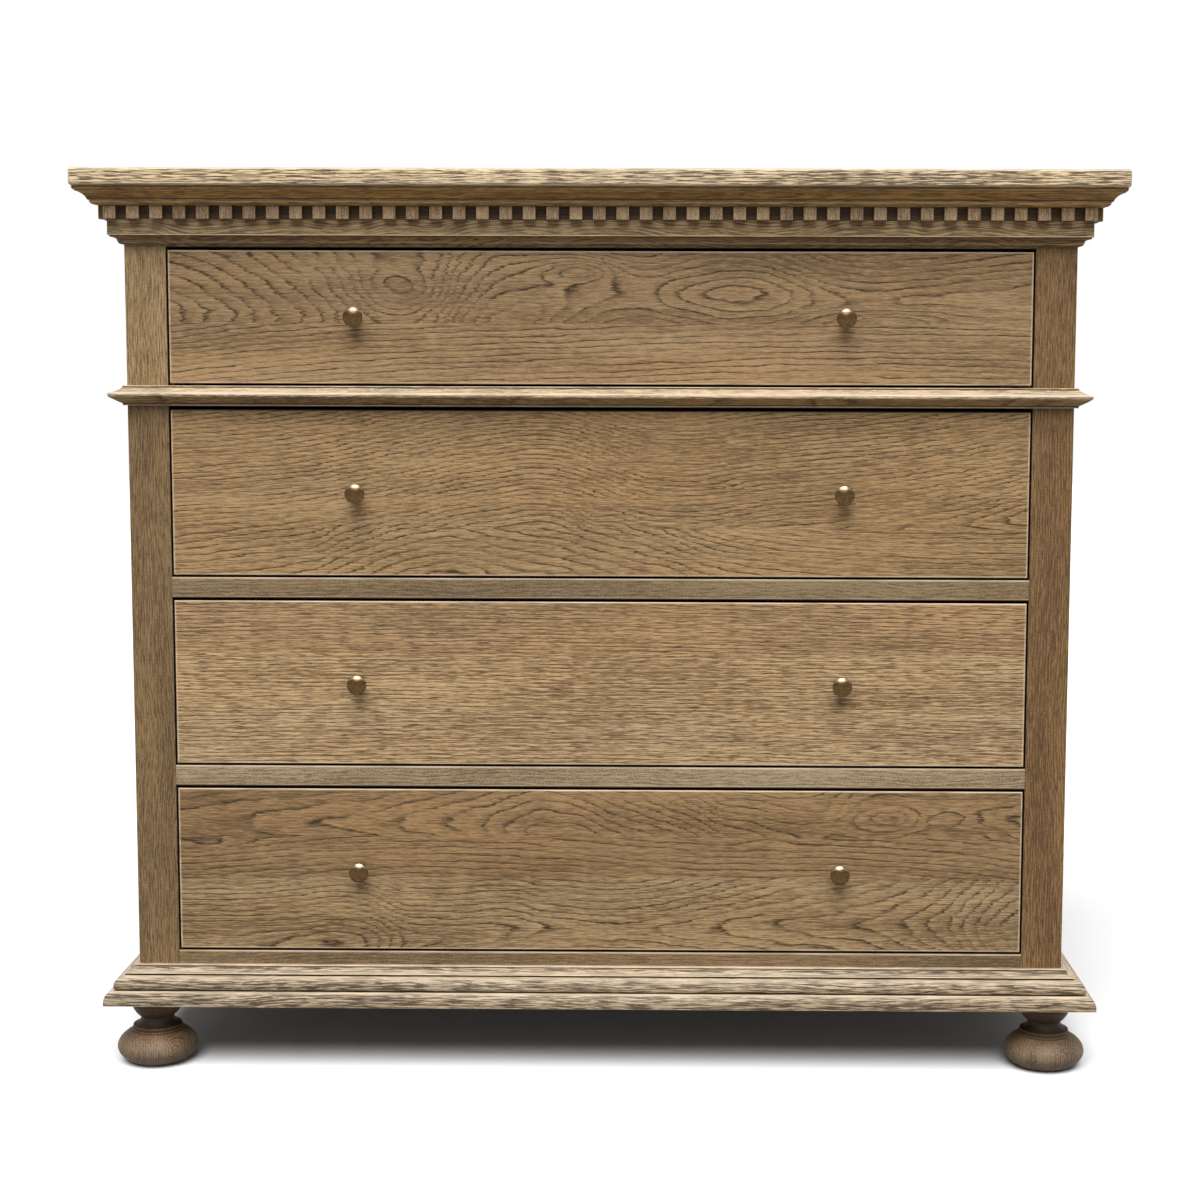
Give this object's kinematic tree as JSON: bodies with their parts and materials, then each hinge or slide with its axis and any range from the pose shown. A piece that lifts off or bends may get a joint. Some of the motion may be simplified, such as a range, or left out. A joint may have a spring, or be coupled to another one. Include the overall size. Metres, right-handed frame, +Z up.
{
  "type": "chest of drawers",
  "caption": "Wide oak chest of full-width drawers on turned bun feet, with a moulded plinth, a waist moulding, a dentil cornice and round brass knobs.",
  "frame": {"origin": "on the floor, under the middle of the top's outline", "axes": "+X to the right as seen from the front, +Y towards the back, +Z up"},
  "size_m": [1.2, 0.5, 1.057],
  "materials": {
    "oak": "weathered, wire-brushed oak with a matt grey-brown finish",
    "drawer_oak": "plain sanded pale oak, unstained",
    "plywood": "sanded oak-faced plywood",
    "brass": "antiqued brass, dark and satin"
  },
  "bodies": {
    "carcass": {"back_panel": "plywood", "base_board": "oak", "crown_front": "oak", "crown_left": "oak", "crown_right": "oak", "dentil_front": "oak", "dentil_left": "oak", "dentil_right": "oak", "dust_board_1": "drawer_oak", "dust_board_2": "drawer_oak", "dust_board_3": "drawer_oak", "foot_front_left": "oak", "foot_front_right": "oak", "foot_rear_left": "oak", "foot_rear_right": "oak", "frieze_front": "oak", "frieze_left": "oak", "frieze_right": "oak", "plinth_front": "oak", "plinth_left": "oak", "plinth_right": "oak", "rail_bottom": "oak", "rail_lower": "oak", "rail_upper": "oak", "side_panel_left": "oak", "side_panel_right": "oak", "stile_left": "oak", "stile_right": "oak", "top_slab": "oak", "waist_front": "oak", "waist_left": "oak", "waist_right": "oak"},
    "drawer_1": {"drawer_1_back": "drawer_oak", "drawer_1_bottom": "plywood", "drawer_1_front": "oak", "drawer_1_knob_left": "brass", "drawer_1_knob_right": "brass", "drawer_1_side_left": "drawer_oak", "drawer_1_side_right": "drawer_oak"},
    "drawer_2": {"drawer_2_back": "drawer_oak", "drawer_2_bottom": "plywood", "drawer_2_front": "oak", "drawer_2_knob_left": "brass", "drawer_2_knob_right": "brass", "drawer_2_side_left": "drawer_oak", "drawer_2_side_right": "drawer_oak"},
    "drawer_3": {"drawer_3_back": "drawer_oak", "drawer_3_bottom": "plywood", "drawer_3_front": "oak", "drawer_3_knob_left": "brass", "drawer_3_knob_right": "brass", "drawer_3_side_left": "drawer_oak", "drawer_3_side_right": "drawer_oak"},
    "drawer_4": {"drawer_4_back": "drawer_oak", "drawer_4_bottom": "plywood", "drawer_4_front": "oak", "drawer_4_knob_left": "brass", "drawer_4_knob_right": "brass", "drawer_4_side_left": "drawer_oak", "drawer_4_side_right": "drawer_oak"}
  },
  "joints": [
    {"name": "drawer_1_slide", "type": "slide", "parent": "carcass", "child": "drawer_1", "axis": [0, -1, 0], "range_m": [0, 0.3]},
    {"name": "drawer_2_slide", "type": "slide", "parent": "carcass", "child": "drawer_2", "axis": [0, -1, 0], "range_m": [0, 0.3]},
    {"name": "drawer_3_slide", "type": "slide", "parent": "carcass", "child": "drawer_3", "axis": [0, -1, 0], "range_m": [0, 0.3]},
    {"name": "drawer_4_slide", "type": "slide", "parent": "carcass", "child": "drawer_4", "axis": [0, -1, 0], "range_m": [0, 0.3]}
  ]
}
